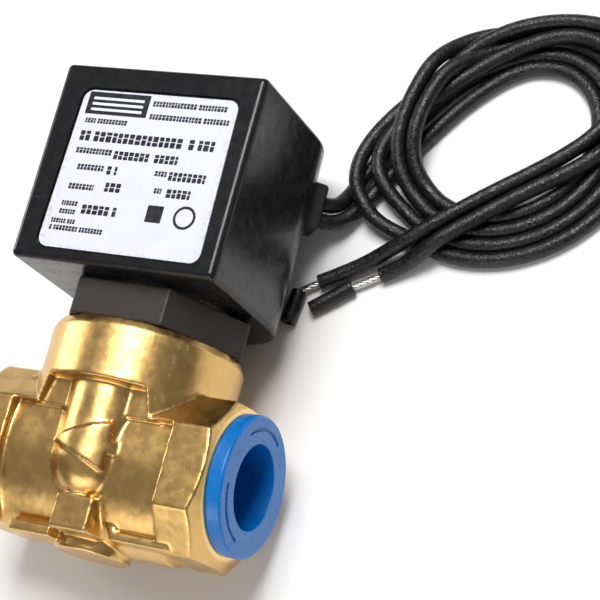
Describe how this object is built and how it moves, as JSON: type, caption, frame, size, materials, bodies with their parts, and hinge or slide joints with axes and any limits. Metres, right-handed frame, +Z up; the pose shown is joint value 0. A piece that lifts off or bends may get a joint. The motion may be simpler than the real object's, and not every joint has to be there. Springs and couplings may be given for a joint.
{
  "type": "solenoid valve",
  "caption": "Pilot-operated solenoid valve: forged brass body with two threaded ports, moulded coil, two loose wire leads and a plastic plug in the inlet.",
  "frame": {"origin": "on the table, under the middle of the valve lying on its back (its leads left out)", "axes": "+Z up from the table, towards the label side; +X along the flow axis towards the plugged inlet; +Y along the bonnet axis towards the coil, which rises 4.2 degrees from the table"},
  "size_m": [0.1035, 0.1251, 0.0432],
  "materials": {
    "forged_brass": "forged, unpolished",
    "blue_plastic": "satin moulded",
    "black_rubber": "matte",
    "stainless": "turned",
    "spring_steel": "bright wire",
    "dark_bonnet": "matte dark oxide",
    "coil_moulding": "semi-gloss moulded",
    "label_film": "printed film, no lettering",
    "bobbin_nylon": "natural nylon",
    "copper": "enamelled wire",
    "coil_tape": "polyester tape",
    "plated_steel": "zinc plated",
    "lead_insulation": "extruded, semi-gloss",
    "tinned_copper": "stranded, tinned"
  },
  "bodies": {
    "coil_unit": {"coil_housing": "coil_moulding", "nameplate": "label_film", "bobbin": "bobbin_nylon", "winding": "copper", "winding_tape": "coil_tape", "yoke_frame": "plated_steel", "yoke_end_plate": "plated_steel", "lead_grommet": "black_rubber", "lead_a_start": "lead_insulation", "lead_b_start": "lead_insulation", "lead_loops": "lead_insulation", "lead_a_tail": "lead_insulation", "lead_b_tail": "lead_insulation", "lead_a_strands": "tinned_copper", "lead_b_strands": "tinned_copper", "lead_a_slug": "lead_insulation", "lead_b_slug": "lead_insulation"},
    "valve_unit": {"valve_body": "forged_brass", "bonnet": "dark_bonnet", "pilot_nozzle": "stainless", "sleeve_tube": "stainless", "sleeve_o_ring": "black_rubber", "fixed_core": "stainless", "shading_ring": "copper", "coil_base_washer": "plated_steel", "spring_washer": "spring_steel", "retaining_nut": "plated_steel", "diaphragm": "black_rubber", "diaphragm_spring": "spring_steel", "plunger_spring": "spring_steel"},
    "plunger_unit": {"plunger": "stainless", "plunger_seal": "black_rubber"},
    "diaphragm_unit": {"diaphragm_backing_plate": "stainless", "diaphragm_rivet": "stainless"},
    "plug_unit": {"inlet_plug": "blue_plastic"}
  },
  "joints": [
    {"name": "coil_swivel", "type": "hinge", "parent": "coil_unit", "child": "valve_unit", "pos_m": [-0.0014, -0.02777, 0.01751], "axis": [0, 0.9973, 0.0736], "continuous": true},
    {"name": "plunger_lift", "type": "slide", "parent": "valve_unit", "child": "plunger_unit", "axis": [0, 0.9973, 0.0736], "range_m": [0, 0.0015], "stiffness_N_per_m": 60, "springref_m": -0.01, "deforming": ["plunger_spring"]},
    {"name": "diaphragm_lift", "type": "slide", "parent": "valve_unit", "child": "diaphragm_unit", "axis": [0, 0.9973, 0.0736], "range_m": [0, 0.0024], "stiffness_N_per_m": 80, "springref_m": -0.01, "deforming": ["diaphragm_spring", "diaphragm"]},
    {"name": "plug_pull", "type": "slide", "parent": "valve_unit", "child": "plug_unit", "axis": [1, 0, 0], "range_m": [0, 0.014]}
  ]
}
